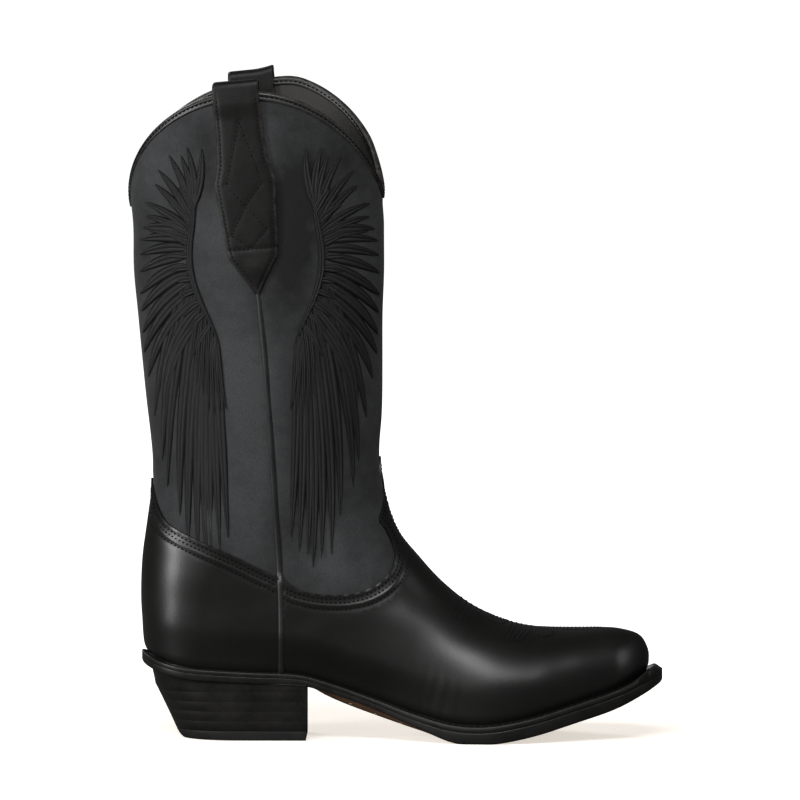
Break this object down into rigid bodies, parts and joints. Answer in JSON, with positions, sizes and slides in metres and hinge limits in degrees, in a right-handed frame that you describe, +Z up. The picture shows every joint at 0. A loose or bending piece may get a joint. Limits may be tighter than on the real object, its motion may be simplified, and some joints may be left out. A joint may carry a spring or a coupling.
{
  "type": "cowboy boot",
  "caption": "Pull-on leather cowboy boot with a scalloped shaft, two pull straps, a long tongue, an underslung stacked heel and a pointed toe.",
  "frame": {"origin": "on the ground, under the middle of the boot's bounding box", "axes": "+X points forwards, to the toe; +Y points to the wearer's left, which is the inner side of this right boot; +Z points up"},
  "size_m": [0.2978, 0.102, 0.3735],
  "materials": {
    "smooth_leather": "smooth black calf, soft gloss",
    "brushed_leather": "charcoal nubuck, matt",
    "lining_leather": "black lining leather, matt",
    "sole_edge": "black edge dressing",
    "board": "pressed leatherboard",
    "stacked_heel": "stacked leather, black edge dressing",
    "rubber": "black rubber",
    "cork": "granulated cork",
    "steel": "bare steel",
    "wood": "bare lemonwood",
    "thread": "waxed black thread"
  },
  "bodies": {
    "root": {"forepart_filler": "cork", "heel_cap": "rubber", "heel_cap_brad_1": "steel", "heel_cap_brad_2": "steel", "heel_cap_brad_3": "steel", "heel_foxing": "smooth_leather", "heel_lift_1": "stacked_heel", "heel_lift_2": "stacked_heel", "heel_lift_3": "stacked_heel", "heel_lift_4": "stacked_heel", "heel_lining": "lining_leather", "heel_nail_1": "steel", "heel_nail_2": "steel", "heel_nail_3": "steel", "heel_nail_4": "steel", "heel_nail_5": "steel", "heel_rand": "sole_edge", "heel_seat_wedge": "stacked_heel", "heel_stiffener": "board", "insole": "board", "outsole": "sole_edge", "pull_strap_inner": "smooth_leather", "pull_strap_outer": "smooth_leather", "shaft_back": "brushed_leather", "shaft_front": "brushed_leather", "shaft_lining_back": "lining_leather", "shaft_lining_front": "lining_leather", "shank": "steel", "side_welt_inner": "smooth_leather", "side_welt_outer": "smooth_leather", "sock_liner": "lining_leather", "toe_puff": "board", "top_binding": "smooth_leather", "vamp": "smooth_leather", "vamp_lining": "lining_leather", "waist_peg_1": "wood", "waist_peg_2": "wood", "waist_peg_3": "wood", "waist_peg_4": "wood", "waist_peg_5": "wood", "waist_peg_6": "wood", "waist_peg_7": "wood", "waist_peg_8": "wood", "welt": "sole_edge", "welt_thread": "thread"}
  },
  "joints": []
}
